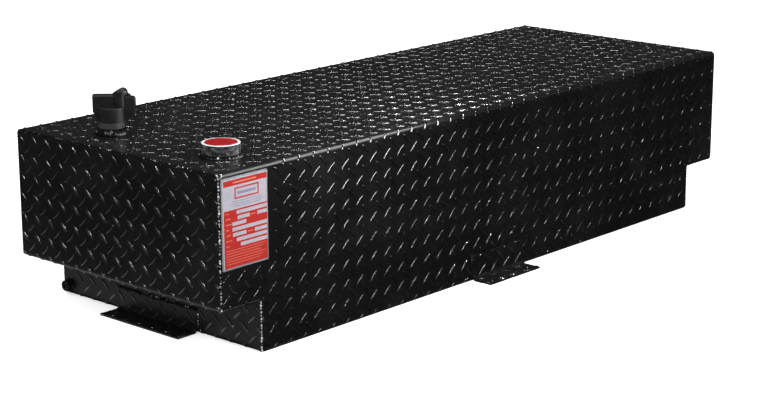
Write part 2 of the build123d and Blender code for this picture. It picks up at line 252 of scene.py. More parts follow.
def combined(tree, operation, first, second):
    """Two factors as one, by the name of a Math node's operation."""
    node = tree.nodes.new("ShaderNodeMath")
    node.operation = operation
    tree.links.new(first, node.inputs[0])
    tree.links.new(second, node.inputs[1])
    return node.outputs["Value"]


def spread(tree, factor, low, high, low_value, high_value):
    """Maps a factor between two limits to a range of values."""
    node = tree.nodes.new("ShaderNodeMapRange")
    limits = {"From Min": low, "From Max": high, "To Min": low_value, "To Max": high_value}
    for socket, value in limits.items():
        node.inputs[socket].default_value = value
    tree.links.new(factor, node.inputs["Value"])
    return node.outputs["Result"]


def two_tone(tree, factor, dark, light, low, high):
    """A colour between two tones, by a factor between two limits."""
    ramp = tree.nodes.new("ShaderNodeValToRGB")
    ramp.color_ramp.elements[0].position = low
    ramp.color_ramp.elements[1].position = high
    ramp.color_ramp.elements[0].color = (*dark, 1.0)
    ramp.color_ramp.elements[1].color = (*light, 1.0)
    tree.links.new(factor, ramp.inputs["Fac"])
    return ramp.outputs["Color"]


def uneven_gloss(tree, shader, factor, low, high):
    """Roughness between two values, by a noise."""
    tree.links.new(spread(tree, factor, 0.3, 0.7, low, high), shader.inputs["Roughness"])


def add_bump(tree, shader, height, distance):
    """Adds a bump on top of any that the shader already has."""
    bump = tree.nodes.new("ShaderNodeBump")
    bump.inputs["Strength"].default_value = 1.0
    bump.inputs["Distance"].default_value = distance
    tree.links.new(height, bump.inputs["Height"])
    normal = shader.inputs["Normal"]
    if normal.is_linked:
        tree.links.new(normal.links[0].from_socket, bump.inputs["Normal"])
    tree.links.new(bump.outputs["Normal"], normal)


def powder_coat(name, colour, roughness, peel, gloss_level, **sockets):
    """Black powder coat: fine orange peel, a slow change of gloss and a trace of dust."""
    material, tree, shader = new_finish(
        name, colour, roughness, Specular_IOR_Level=gloss_level, **sockets
    )
    dusty = tuple(channel * 1.9 + 0.001 for channel in colour)
    slow = noise(tree, 9.0, 5.0, 0.6)
    tree.links.new(two_tone(tree, slow, colour, dusty, 0.45, 0.8), shader.inputs["Base Color"])
    uneven_gloss(tree, shader, noise(tree, 60.0, 3.0), roughness - 0.05, roughness + 0.07)
    add_bump(tree, shader, noise(tree, 700.0, 2.0), peel)
    add_bump(tree, shader, noise(tree, 45.0, 2.0), peel * 5.0)
    return material


def glint_painted_bead(name, colour, light_tone, start, end):
    """Powder coat with painted highlights: a light tone painted along the crests of a bead's
    ripples, in place of glints.
    """
    material, tree, shader = new_finish(name, colour, 0.24, Specular_IOR_Level=0.3, Metallic=0.2)
    # Painted highlight: the bead's crest share, made patchy by noise, blends the coat towards a
    # light tone on the ripple crests
    crest = tree.nodes.new("ShaderNodeAttribute")
    crest.attribute_name = "crest"
    patchy = spread(tree, noise(tree, 150.0, 4.0, 0.7), 0.35, 0.65, 0.2, 1.2)
    painted_glint = combined(tree, "MULTIPLY", crest.outputs["Fac"], patchy)
    tree.links.new(two_tone(tree, painted_glint, colour, light_tone, start, end), shader.inputs["Base Color"])
    add_bump(tree, shader, noise(tree, 700.0, 2.0), 0.00002)
    return material


def masked_collar(name, coat, light_tone, centre, wall, top):
    """Bare metal on the top face and in the bore, mottled coat on the outer wall."""
    material, tree, shader = new_finish(name, coat, 0.3, Specular_IOR_Level=0.4)
    place = own_coordinates(tree, centre)
    level = tree.nodes.new("ShaderNodeSeparateXYZ")
    tree.links.new(place, level.inputs[0])
    radius = tree.nodes.new("ShaderNodeVectorMath")
    radius.operation = "LENGTH"
    tree.links.new(scaled(tree, place, (1.0, 1.0, 0.0)), radius.inputs[0])
    high = spread(tree, level.outputs["Z"], top - 0.9 * MM, top - 0.5 * MM, 0.0, 1.0)
    inside = spread(tree, radius.outputs["Value"], wall - 1.4 * MM, wall - 1.0 * MM, 1.0, 0.0)
    masked = combined(tree, "MAXIMUM", high, inside)
    mottle = streaks(tree, place, (95.0, 95.0, 260.0), 4.0)
    scuffed = tuple(channel * 9.0 for channel in coat)
    mix = tree.nodes.new("ShaderNodeMix")
    mix.data_type = "RGBA"
    tree.links.new(masked, mix.inputs["Factor"])
    tree.links.new(two_tone(tree, mottle, coat, scuffed, 0.42, 0.72), mix.inputs["A"])
    mix.inputs["B"].default_value = (*light_tone, 1.0)
    tree.links.new(mix.outputs["Result"], shader.inputs["Base Color"])
    tree.links.new(spread(tree, masked, 0.0, 1.0, 0.0, 0.3), shader.inputs["Metallic"])
    add_bump(tree, shader, mottle, 0.0002)
    return material


def moulded_plastic(name, colour, roughness, grain, gloss_level=0.45):
    """Moulded plastic with a fine spark-eroded grain and slow flow marks."""
    material, tree, shader = new_finish(name, colour, roughness, Specular_IOR_Level=gloss_level)
    lighter = tuple(channel * 1.25 + 0.003 for channel in colour)
    flow = noise(tree, 55.0, 2.0)
    tree.links.new(two_tone(tree, flow, colour, lighter, 0.35, 0.75), shader.inputs["Base Color"])
    uneven_gloss(tree, shader, noise(tree, 240.0, 2.0), roughness - 0.06, roughness + 0.08)
    add_bump(tree, shader, noise(tree, 1800.0, 1.0), grain)
    return material


def turned_metal(name, colour, roughness, centre, groove, **sockets):
    """Metal turned on a lathe about an upright axis: fine rings and a worn gloss."""
    material, tree, shader = new_finish(name, colour, roughness, Metallic=1.0, **sockets)
    rings = tree.nodes.new("ShaderNodeTexWave")
    rings.wave_type = "RINGS"
    rings.rings_direction = "Z"
    rings.inputs["Scale"].default_value = 650.0
    rings.inputs["Distortion"].default_value = 0.4
    tree.links.new(own_coordinates(tree, centre), rings.inputs["Vector"])
    add_bump(tree, shader, rings.outputs["Fac"], groove)
    duller = tuple(channel * 0.72 for channel in colour)
    stain = noise(tree, 130.0, 4.0)
    tree.links.new(two_tone(tree, stain, duller, colour, 0.3, 0.62), shader.inputs["Base Color"])
    uneven_gloss(tree, shader, noise(tree, 300.0, 3.0), roughness - 0.07, roughness + 0.1)
    return material


def printed_film(name, colour):
    """Ink on glossy film, with a faint ripple from the plate behind it."""
    material, tree, shader = new_finish(name, colour, 0.32, Specular_IOR_Level=0.4)
    faded = tuple(channel * 0.93 for channel in colour)
    patchy = noise(tree, 70.0, 3.0)
    tree.links.new(two_tone(tree, patchy, faded, colour, 0.3, 0.6), shader.inputs["Base Color"])
    add_bump(tree, shader, noise(tree, 40.0, 2.0), 0.00025)
    return material


def foil_finish(name, colour):
    """Brushed foil for the label's border."""
    material, tree, shader = new_finish(name, colour, 0.38, Metallic=0.85)
    brushed = streaks(tree, own_coordinates(tree), (60.0, 60.0, 2500.0), 2.0)
    uneven_gloss(tree, shader, brushed, 0.3, 0.46)
    add_bump(tree, shader, brushed, 0.00004)
    return material


# Settings


def length_setting(name, description, default):
    """A length that a user may change."""
    return FloatProperty(
        name=name, description=description, default=default, min=0.0, unit="LENGTH", precision=5
    )


def colour_setting(name, description, default):
    """A colour that a user may change."""
    return FloatVectorProperty(
        name=name, description=description, default=default,
        size=3, min=0.0, max=1.0, subtype="COLOR",
    )


def power_setting(name, description, default):
    """A light's power that a user may change."""
    return FloatProperty(
        name=name, description=description, default=default, min=0.0, unit="POWER"
    )


def strength_setting(name, description, default):
    """A strength without a unit that a user may change."""
    return FloatProperty(name=name, description=description, default=default, min=0.0)


class TreadSettings(bpy.types.PropertyGroup):
    pitch: length_setting("Pitch", "Distance between lugs of one family", 35.2 * MM)
    lug_length: length_setting("Lug length", "Length of one raised lug", 27.0 * MM)
    lug_width: length_setting("Lug width", "Width of one raised lug at its middle", 6.2 * MM)
    lug_height: length_setting("Lug height", "Height of a lug above the sheet", 1.3 * MM)


class WeldSettings(bpy.types.PropertyGroup):
    ripple_pitch: length_setting("Ripple pitch", "Distance between the ripples of a bead", 5.5 * MM)
    ripple_height: length_setting("Ripple height", "How far a ripple stands out", 0.8 * MM)


class CoatSettings(bpy.types.PropertyGroup):
    plate: colour_setting("Plate", "Powder coat on the tread plate", (0.0032, 0.0032, 0.0034))
    weld: colour_setting("Weld", "Powder coat on the weld beads", (0.004, 0.004, 0.0044))
    foot: colour_setting("Foot", "Powder coat on the feet", (0.0035, 0.0035, 0.0038))
    # The neck's coat is much lighter than the plate's: a painted sheen standing in for the neck's
    # reflections
    neck: colour_setting("Neck", "Powder coat on the filler neck", (0.028, 0.028, 0.029))
    # This colour is the light tone painted on the weld beads' ripple crests as painted highlights
    painted_glint: colour_setting("Painted glint", "Bare metal where a bead is rubbed", (0.6, 0.6, 0.6))
    collar: colour_setting("Collar", "Powder coat on the port's outer wall", (0.012, 0.0125, 0.013))
    cap: colour_setting("Cap", "Moulded plastic of the filler cap", (0.0065, 0.0065, 0.0068))
    plug: colour_setting("Plug", "Moulded plastic of the port plug", (0.2, 0.0015, 0.004))
    alloy: colour_setting("Alloy", "Bare aluminium of the port", (0.8, 0.81, 0.83))


class LabelSettings(bpy.types.PropertyGroup):
    ground: colour_setting("Ground", "Ground of the label", (0.235, 0.225, 0.255))
    ink: colour_setting("Ink", "Red fields of the label", (0.255, 0.009, 0.006))
    line: colour_setting("Line", "Thin grey lines of the label", (0.13, 0.13, 0.18))
    caption: colour_setting("Caption", "Pale marks on the red fields", (0.36, 0.1, 0.06))
    border: colour_setting("Border", "Foil border of the label", (0.6, 0.62, 0.66))


class StageSettings(bpy.types.PropertyGroup):
    floor: colour_setting("Floor", "Studio floor", (0.85, 0.85, 0.85))
    floor_glow: strength_setting("Floor glow", "Light that the floor gives off itself", 0.5)
    sky: strength_setting("Sky", "Strength of the white surround", 1.15)
    sky_in_gloss: strength_setting("Sky in gloss", "The surround's strength in gloss", 0.048)
    front_power: power_setting("Front power", "Power of the strip in front", 102.4)
    left_power: power_setting("Left power", "Power of the strip at the left end", 128.0)
    top_power: power_setting("Top power", "Power of the strip overhead", 142.0)
    fill_power: power_setting("Fill power", "Power of the soft light on the folds", 2.6)
    cap_power: power_setting("Cap power", "Power of the small light by the cap", 3.3)
    foot_power: power_setting("Foot power", "Power of the narrow light over the front foot", 0.35)
    bounce_power: power_setting("Bounce power", "Power of the light off the floor", 0.25)


# Tread


LUG_POINTS = 10
# Each ring of a lug as shares of its length, its width and its height
LUG_RINGS = ((1.0, 1.0, -0.3), (0.97, 0.82, 0.42), (0.9, 0.48, 0.86), (0.8, 0.1, 1.0))
LUG_TIP = 0.3  # higher is more pointed
CUT_TOLERANCE = 1e-7


def lug_shape(settings, centre, slant):
    """One lug on the flat sheet, as points (across, along, height) and faces."""
    cosine, sine = math.cos(slant), math.sin(slant)
    verts = []
    for long_share, wide_share, high_share in LUG_RINGS:
        for index in range(LUG_POINTS):
            angle = math.tau * index / LUG_POINTS
            along = settings.lug_length / 2 * long_share * math.cos(angle)
            bulge = math.sin(angle) * abs(math.sin(angle)) ** LUG_TIP
            wide = settings.lug_width / 2 * wide_share * bulge
            across = centre[0] + along * cosine - wide * sine
            onward = centre[1] + along * sine + wide * cosine
            verts.append((across, onward, settings.lug_height * high_share))
    under = tuple(range(LUG_POINTS))[::-1]
    top = tuple(range(len(verts) - LUG_POINTS, len(verts)))
    return verts, [under, *skin(len(LUG_RINGS), LUG_POINTS), top]


def trimmed(verts, faces, cuts):
    """Cuts a lug at the sheet's edges. A cut is (axis, limit, side kept)."""
    needed = [
        (axis, limit, kept) for axis, limit, kept in cuts
        if any((vert[axis] - limit) * kept < 0 for vert in verts)
    ]
    if not needed:
        return verts, faces
    lug = bmesh.new()
    made = [lug.verts.new(vert) for vert in verts]
    for face in faces:
        lug.faces.new([made[index] for index in face])
    for axis, limit, kept in needed:
        place = [0.0, 0.0, 0.0]
        normal = [0.0, 0.0, 0.0]
        place[axis] = limit
        normal[axis] = -kept
        everything = lug.verts[:] + lug.edges[:] + lug.faces[:]
        bmesh.ops.bisect_plane(
            lug, geom=everything, plane_co=place, plane_no=normal, clear_outer=True,
            dist=CUT_TOLERANCE,
        )
        open_edges = [edge for edge in lug.edges if edge.is_boundary]
        bmesh.ops.holes_fill(lug, edges=open_edges, sides=0)
    lug.verts.index_update()
    verts = [tuple(vert.co) for vert in lug.verts]
    faces = [tuple(vert.index for vert in face.verts) for face in lug.faces]
    lug.free()
    return verts, faces


def touches(zone, verts):
    """True if a lug reaches into a round or square zone kept clear of lugs."""
    if zone[0] == "round":
        _, across, along, radius = zone
        return any(math.hypot(v[0] - across, v[1] - along) < radius for v in verts)
    _, low_across, high_across, low_along, high_along = zone
    return any(
        low_across < v[0] < high_across and low_along < v[1] < high_along for v in verts
    )


def lay_lugs(settings, name, path, span, start, to_frame, zones=(), cuts_at=None):
    """Lays both families of lugs over a flat sheet and folds them with it, as one piece.

    They are cut at the span's edges, or where cuts_at says for each lug's place.
    """
    verts, faces = [], []
    (low_across, high_across), (low_along, high_along) = span
    edges = [(0, high_across, -1), (0, low_across, 1), (1, low_along, 1), (1, high_along, -1)]
    pitch = settings.pitch
    for family, slant in ((0.0, math.pi / 4), (0.5, -math.pi / 4)):
        first = [value + family * pitch for value in start]
        column = math.ceil((low_across - pitch / 2 - first[0]) / pitch)
        while first[0] + column * pitch < high_across + pitch / 2:
            across = first[0] + column * pitch
            row = math.ceil((low_along - pitch / 2 - first[1]) / pitch)
            while first[1] + row * pitch < high_along + pitch / 2:
                along = first[1] + row * pitch
                row += 1
                lug, sides = lug_shape(settings, (across, along), slant)
                if any(touches(zone, lug) for zone in zones):
                    continue
                cuts = cuts_at(across, along) if cuts_at else edges
                lug, sides = trimmed(lug, sides, cuts)
                base = len(verts)
                for flat in lug:
                    point, normal = path.at(flat[1])
                    level = point.y + normal.y * flat[2]
                    verts.append(to_frame(flat[0], point.x + normal.x * flat[2], level))
                faces += [tuple(base + index for index in side) for side in sides]
            column += 1
    return mesh_piece(name, verts, faces, "tank")


def stepped_path(inset, top, depth=0.0):
    """The tank's stepped outline moved in by an inset, from the left end's top to the right's."""
    step = STEP_HEIGHT + inset
    end, low_end = HALF_LENGTH - inset, LOWER_END - inset
    half = [(end, top), (end, step), (low_end, step), (low_end, inset)]
    points = [(-x, z) for x, z in half] + half[::-1]
    convex, concave = BELLY_FOLD - inset, STEP_FOLD + inset
    return FoldPath(points, (convex, concave, convex, convex, concave, convex), -1, depth)


def wrapper_lugs(settings):
    """The lugs of the wrapper sheet, kept off the neck, the port and the label."""
    across_top = [(-HALF_WIDTH, HEIGHT), (HALF_WIDTH, HEIGHT)]
    points = [(-HALF_WIDTH, 0.0), *across_top, (HALF_WIDTH, 0.0)]
    path = FoldPath(points, (TOP_FOLD, TOP_FOLD), 1, UNSTRETCHED)
    edge = HALF_LENGTH - SHEET
    low_edge = edge - END_STEP
    step = STEP_HEIGHT + SHEET

    def cuts_at(across, along):
        cuts = [(1, SHEET, 1), (1, path.length - SHEET, -1)]
        above_edge = min(along, path.length - along)
        if abs(across) > low_edge:
            on_front = along < path.length / 2
            cuts.append((1, step, 1) if on_front else (1, path.length - step, -1))
            limit = edge
        else:
            limit = edge if above_edge > step else low_edge
        return cuts + [(0, limit, -1), (0, -limit, 1)]

    def to_frame(across, onward, level):
        return (across, onward, level)

    label_low, label_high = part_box("label_plate")
    left, right = label_low.x - LABEL_CLEARANCE, label_high.x + LABEL_CLEARANCE
    # Distance along the path to the line over the tank's middle
    to_middle = path.runs[2][0] + HALF_WIDTH - TOP_FOLD
    zones = [
        ("round", NECK_AXIS.x, to_middle + NECK_AXIS.y, NECK_RADIUS + NECK_CLEARANCE),
        ("round", PORT_AXIS.x, to_middle + PORT_AXIS.y, PORT_RADIUS + PORT_CLEARANCE),
        ("square", left, right, label_low.z - LABEL_CLEARANCE, label_high.z),
    ]
    span = ((-edge, edge), (SHEET, path.length - SHEET))
    start = WRAPPER_TREAD_START
    return lay_lugs(settings, "wrapper_lugs", path, span, start, to_frame, zones, cuts_at)


def belly_lugs(settings):
    """The lugs of the belly sheet, kept off the drain."""
    path = stepped_path(0.0, HEIGHT - SHEET, UNSTRETCHED)
    edge = HALF_WIDTH - SHEET

    def to_frame(across, onward, level):
        return (onward, -across, level)

    to_drain = path.runs[4][0] + STEP_HEIGHT - DRAIN_AXIS.z - STEP_FOLD
    zones = [("round", -DRAIN_AXIS.y, to_drain, DRAIN_RADIUS + DRAIN_CLEARANCE)]
    span = ((-edge, edge), (0.0, path.length))
    return lay_lugs(settings, "belly_lugs", path, span, BELLY_TREAD_START, to_frame, zones)


def foot_places():
    """Each foot's frame: local +X along the foot, local -Y away from the tank."""
    places = {}
    for name, turn in (("front", 0), ("right", 90), ("back", 180), ("left", 270)):
        low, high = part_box(f"{name}_foot")
        on_long_side = name in ("front", "back")
        middle, size = (low + high) / 2, high - low
        turned = Matrix.Rotation(math.radians(turn), 4, "Z")
        face = HALF_WIDTH if on_long_side else LOWER_END
        shift = Matrix.Translation((middle.x, 0, 0) if on_long_side else (0, middle.y, 0))
        length, reach = (size.x, size.y) if on_long_side else (size.y, size.x)
        places[name] = (shift @ turned @ Matrix.Translation((0, -face, 0)), length, reach, high.z)
    return places


def foot_lugs(settings, name, place, length, reach, leg):
    """The lugs of one foot, down its leg and out over its flange."""
    points = [(-SHEET, leg), (-SHEET, SHEET), (-reach, SHEET)]
    path = FoldPath(points, (FOOT_FOLD,), -1, UNSTRETCHED)
    half = length / 2

    def to_frame(across, onward, level):
        return tuple(place @ Vector((across, onward, level)))

    start = (FOOT_TREAD_START[0] - half, FOOT_TREAD_START[1])
    span = ((-half, half), (0.0, path.length))
    return lay_lugs(settings, f"{name}_foot_lugs", path, span, start, to_frame)


# Weld beads


BEAD_STEPS = 6
BEAD_RING = BEAD_STEPS + 2
BEAD_SPACING = 0.92 * MM
BEAD_OVERLAP = math.radians(8)
RING_BELLY = 0.8
FOOT_BELLY = 0.86
RIPPLE_LAG = 1.6  # bends each ripple into an arc
EDGE_RIPPLE = 0.35  # a ripple's height at a bead's edge, as a share of that at its middle
TROUGH_GLINT = 0.6  # how much painted highlight the troughs take, as a share of the crests
LEVEL_GLINT = 0.45  # how much painted highlight a seam's level runs take, as a share of its upright ones


def straight_stations(start, end, first, second):
    """Stations along a straight weld: place, two outward directions, distance."""
    start, end = Vector(start), Vector(end)
    length = (end - start).length
    count = max(2, round(length / BEAD_SPACING))
    return [
        (start.lerp(end, index / count), Vector(first), Vector(second), length * index / count)
        for index in range(count + 1)
    ]


def bead_mesh(settings, stations, reaches, belly=1.0, closed=False):
    """A rippled bead along its stations, as points, faces and how much painted highlight each point
    takes.
    """
    verts, crests = [], []
    for place, first, second, distance in stations:
        verts.append(place)
        crests.append(0.0)
        for step in range(BEAD_STEPS + 1):
            share = step / BEAD_STEPS
            angle = -BEAD_OVERLAP + share * (math.pi / 2 + 2 * BEAD_OVERLAP)
            lag = (share - 0.5) ** 2 * RIPPLE_LAG
            wave = abs(math.sin(math.pi * (distance / settings.ripple_pitch + lag)))
            swell = 1.0 + (belly - 1.0) * math.sin(2 * max(0.0, min(angle, math.pi / 2)))
            middle = math.sin(math.pi * share)
            ripple = settings.ripple_height * wave * (EDGE_RIPPLE + (1 - EDGE_RIPPLE) * middle)
            grow = swell + ripple / max(reaches)
            verts.append(
                place
                + first * (reaches[0] * math.cos(angle) * grow)
                + second * (reaches[1] * math.sin(angle) * grow)
            )
            # share of painted highlight: most at the bead's middle and on the ripple crests
            crests.append(middle * (TROUGH_GLINT + (1 - TROUGH_GLINT) * wave))
    faces = skin(len(stations), BEAD_RING, closed)
    if not closed:
        faces.append(tuple(range(BEAD_RING)))
        faces.append(tuple(range(len(verts) - BEAD_RING, len(verts)))[::-1])
    return verts, faces, crests


def joined(parts):
    """Several lists of points, faces and crests as one."""
    verts, faces, crests = [], [], []
    for more_verts, more_faces, more_crests in parts:
        base = len(verts)
        verts += more_verts
        faces += [tuple(base + index for index in face) for face in more_faces]
        crests += more_crests
    return verts, faces, crests


def side_seam_stations():
    """Stations of the front seam, from the top of the left end to that of the right."""
    fold = TOP_FOLD - SHEET
    end = HALF_LENGTH - SHEET
    corner_y, corner_z = -(HALF_WIDTH - TOP_FOLD), HEIGHT - TOP_FOLD
    path = stepped_path(SHEET, corner_z)
    arc = fold * math.pi / 2
    arc_steps = round(arc / BEAD_SPACING)

    def fold_station(side, angle, distance):
        upward = Vector((0, -math.sin(angle), math.cos(angle)))
        place = Vector((side * end, corner_y, corner_z)) + upward * fold
        return place, upward, Vector((side, 0, 0)), distance

    stations = []
    for index in range(arc_steps):
        angle = math.pi / 2 * index / arc_steps
        stations.append(fold_station(-1, angle, angle * fold))
    steps = round(path.length / BEAD_SPACING)
    for index in range(steps + 1):
        distance = path.length * index / steps
        point, normal = path.at(distance)
        place = Vector((point.x, -(HALF_WIDTH - SHEET), point.y))
        outward = Vector((normal.x, 0, normal.y))
        stations.append((place, Vector((0, -1, 0)), outward, arc + distance))
    for index in range(1, arc_steps + 1):
        angle = math.pi / 2 * (1 - index / arc_steps)
        distance = arc + path.length + (math.pi / 2 - angle) * fold
        stations.append(fold_station(1, angle, distance))
    return stations


def seam_beads(settings):
    """The four seams between the two sheets, with painted highlights strongest at the upright
    corners.
    """
    front = side_seam_stations()
    flip = Vector((1, -1, 1))
    back = [(place * flip, out * flip, up * flip, far) for place, out, up, far in front]
    seams = {"front_seam": (front, "front_seam_weld"), "back_seam": (back, "back_seam_weld")}
    across = HALF_WIDTH - TOP_FOLD
    for name, side in (("left", -1), ("right", 1)):
        x = side * (HALF_LENGTH - SHEET)
        z = HEIGHT - SHEET
        stations = straight_stations((x, -across, z), (x, across, z), (0, 0, 1), (side, 0, 0))
        seams[f"{name}_top_seam"] = (stations, f"{name}_top_weld")
    pieces = []
    for name, (stations, node) in seams.items():
        verts, faces, crests = bead_mesh(settings, stations, (SHEET, SHEET))
        # Painted highlights are strongest where a seam runs upright and weaker along its level runs
        upright = [abs(second.x) for _, _, second, _ in stations for _ in range(BEAD_RING)]
        glint_shares = [LEVEL_GLINT + (1 - LEVEL_GLINT) * share for share in upright]
        crests = [crest * glint_share for crest, glint_share in zip(crests, glint_shares)]
        piece = mesh_piece(name, verts, faces, "tank", crests=crests)
        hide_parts(node)
        pieces.append(piece)
    return pieces


def ring_bead(settings, name, node, frame_matrix, radius, reaches):
    """A bead round a tube that stands on a plate."""
    around = math.tau * radius
    count = max(48, round(around / BEAD_SPACING))
    ripples = max(1, round(around / settings.ripple_pitch))
    turned = frame_matrix.to_3x3()
    stations = []
    for index in range(count):
        angle = math.tau * index / count
        outward = Vector((math.cos(angle), math.sin(angle), 0))
        distance = ripples * settings.ripple_pitch * index / count
        place = frame_matrix @ (outward * radius)
        stations.append((place, turned @ outward, turned @ Vector((0, 0, 1)), distance))
    verts, faces, crests = bead_mesh(settings, stations, reaches, RING_BELLY, closed=True)
    piece = mesh_piece(name, verts, faces, "tank", crests=crests)
    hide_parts(node)
    return piece


def foot_beads(settings, name, place, length, leg, stitched):
    """Beads up both ends of a foot's leg, and stitches along the end feet's top edge."""
    low = FOOT_FOLD + SHEET
    parts = []
    for side in (-1, 1):
        x = side * length / 2
        stations = straight_stations((x, 0, low), (x, 0, leg), (side, 0, 0), (0, -1, 0))
        parts.append(bead_mesh(settings, stations, FOOT_BEAD, FOOT_BELLY))
    if stitched:
        stitch = (length - 2 * FOOT_STITCH_GAP) / 3
        for index in (-1, 0, 1):
            middle = index * (stitch + FOOT_STITCH_GAP)
            ends = (middle - stitch / 2, 0, leg), (middle + stitch / 2, 0, leg)
            stations = straight_stations(*ends, (0, 0, 1), (0, -1, 0))
            parts.append(bead_mesh(settings, stations, FOOT_BEAD, FOOT_BELLY))
    verts, faces, crests = joined(parts)
    verts = [place @ vert for vert in verts]
    piece = mesh_piece(f"{name}_foot_beads", verts, faces, "tank", crests=crests)
    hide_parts(f"{name}_foot_welds")
    return piece


# Label


LABEL_BORDER = 2.6 * MM
INK_HEIGHT = 0.08 * MM
# Boxes of the print, in mm from the label's top left: left, top, right, bottom
LABEL_INK = [
    (5, 5, 101, 14.5), (29.5, 18.5, 83, 20.9), (29.5, 34.9, 83, 37.3),
    (29.5, 20.9, 32.1, 34.9), (80.4, 20.9, 83, 34.9), (5, 54, 101, 149),
]
LABEL_BARS = [
    (33, 56.5, 101, 62.5), (35, 65.5, 62, 71.5), (79, 65.5, 101, 71.5),
    (23, 74.5, 54, 80.5), (23, 83.5, 101, 89.5), (24, 92.5, 54, 98.5),
    (73, 92.5, 101, 98.5), (32, 101.5, 101, 107.5), (41, 110.5, 101, 116.5),
]
LABEL_LINES = [
    (24, 40.5, 90, 41.6), (20, 44.5, 96, 45.6), (26, 48.5, 88, 49.6), (36, 25.6, 76, 30.4),
]
LABEL_CAPTIONS = [(26, 8.4, 78, 11.2), (57, 94.7, 69, 96.3), (65, 67.7, 75, 69.3)]


def label_fields(width, height):
    """Every field of the label: its colour, its level, left, top, right and bottom."""
    captions = list(LABEL_CAPTIONS)
    for index, top in enumerate(range(58, 114, 9)):
        captions.append((9, top, 16 + 3 * (index % 3), top + 1.6))
    for index in range(6):
        captions.append((9, 120 + 4.4 * index, 97 - 6 * (index % 3), 121 + 4.4 * index))
    layers = (
        ("ink", 2, LABEL_INK), ("ground", 3, LABEL_BARS), ("line", 2, LABEL_LINES),
        ("caption", 3, captions),
    )
    right, bottom = width - LABEL_BORDER, height - LABEL_BORDER
    fields = [("ground", 1, LABEL_BORDER, LABEL_BORDER, right, bottom)]
    for colour, level, boxes in layers:
        fields += [(colour, level, *[value * MM for value in box]) for box in boxes]
    return fields


def label_print(settings):
    """Plain fields of colour on the label plate, where the print would be."""
    low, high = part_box("label_plate")
    order = ("ground", "ink", "line", "caption")
    sides = [(0, 1, 2, 3), (7, 6, 5, 4), (0, 4, 5, 1), (1, 5, 6, 2), (2, 6, 7, 3), (3, 7, 4, 0)]
    verts, faces, colours = [], [], []
    fields = label_fields(high.x - low.x, high.z - low.z)
    for colour, level, left, top, right, bottom in fields:
        base = len(verts)
        for y in (low.y - INK_HEIGHT * level, low.y + 0.1 * MM):
            verts += [
                (low.x + left, y, high.z - bottom), (low.x + right, y, high.z - bottom),
                (low.x + right, y, high.z - top), (low.x + left, y, high.z - top),
            ]
        faces += [tuple(base + corner for corner in side) for side in sides]
        colours += [order.index(colour)] * len(sides)
    piece = mesh_piece("label_print", verts, faces, "tank", smooth=False)
    paint(piece, *[printed_film(f"label_{colour}", getattr(settings, colour)) for colour in order])
    for face, colour in zip(piece.data.polygons, colours):
        face.material_index = colour
    paint(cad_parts["label_plate"], foil_finish("label_foil", settings.border))
    return piece


# Threads


PORT_WALL = 5.1 * MM
THREAD_PITCH = 2.2 * MM
THREAD_STEPS = 40
THREAD_ROOT = 0.06 * MM  # how deep the ridge's foot is sunk in its wall
THREAD_FOOT = 0.42  # half the foot's width, as a share of the pitch
# Each thread's depth, where it starts and where it ends
PORT_THREAD = (-0.26 * MM, PORT_LOW.z + 3 * MM, PORT_HIGH.z - 2.5 * MM)
NECK_THREAD = (0.3 * MM, NECK_HIGH.z - 13 * MM, NECK_HIGH.z - 2 * MM)


def thread_ridge(name, body, slot, centre, radius, depth, low, high):
    """A screw thread as one ridge wound round an upright axis; depth < 0 is inside a bore."""
    root = -math.copysign(THREAD_ROOT, depth)
    count = round((high - low) / THREAD_PITCH * THREAD_STEPS)
    verts = []
    for index in range(count + 1):
        angle = math.tau * index / THREAD_STEPS
        level = low + THREAD_PITCH * index / THREAD_STEPS - centre.z
        fade = min(1.0, index / THREAD_STEPS, (count - index) / THREAD_STEPS)
        outward = Vector((math.cos(angle), math.sin(angle), 0))
        for out, up in ((root, -THREAD_FOOT), (depth * fade, 0.0), (root, THREAD_FOOT)):
            rise = Vector((0, 0, level + up * THREAD_PITCH))
            verts.append(centre + outward * (radius + out) + rise)
    last = count * 3
    faces = skin(count + 1, 3) + [(0, 1, 2), (last + 2, last + 1, last)]
    return mesh_piece(name, verts, faces, body)


# Operators


NYLON = (0.6, 0.58, 0.5)
RUBBER = (0.01, 0.01, 0.01)
PLATED_ZINC = (0.72, 0.71, 0.68)
ZINC_STEEL = (0.55, 0.55, 0.53)


def finish_nodes(finish, *nodes):
    """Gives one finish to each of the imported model's pieces named."""
    for node in nodes:
        paint(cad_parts[node], finish)


class TANK_OT_coat_sheets(bpy.types.Operator):
    """Powder coats the folded sheets, the baffles, the feet and the fittings"""

    bl_idname = "tank.coat_sheets"
    bl_label = "Coat Sheets"

    def execute(self, context):
        coat = context.scene.tank_coat
        sheets = ("wrapper_sheet", "belly_sheet", "left_baffle", "right_baffle")
        feet = ("front_foot", "back_foot", "left_foot", "right_foot")
        drain = ("drain_coupling", "drain_plug")
        coats = (
            ("black_powder_coat", coat.plate, 0.3, 0.00005, 0.3, sheets),
            ("foot_powder_coat", coat.foot, 0.3, 0.00005, 0.3, feet),
            ("fitting_powder_coat", coat.plate, 0.26, 0.00003, 0.2, drain),
            # the neck's lighter colour is a painted sheen
            ("neck_coat_painted_sheen", coat.neck, 0.3, 0.00004, 0.4, ("filler_neck",)),
        )
        for name, colour, roughness, peel, gloss_level, nodes in coats:
            finish_nodes(powder_coat(name, colour, roughness, peel, gloss_level), *nodes)
        return {"FINISHED"}


class TANK_OT_lay_tread(bpy.types.Operator):
    """Lays the raised lugs over both sheets and the four feet"""

    bl_idname = "tank.lay_tread"
    bl_label = "Lay Tread"

    def execute(self, context):
        settings = context.scene.tank_tread
        coat = context.scene.tank_coat
        finish = powder_coat(
            "lug_powder_coat", coat.plate, 0.1, 0.000004, 1.0,
            Coat_Weight=1.0, Coat_Roughness=0.055,
        )
        pieces = [wrapper_lugs(settings), belly_lugs(settings)]
        for name, (place, length, reach, leg) in foot_places().items():
            pieces.append(foot_lugs(settings, name, place, length, reach, leg))
        for piece in pieces:
            paint(piece, finish)
        return {"FINISHED"}


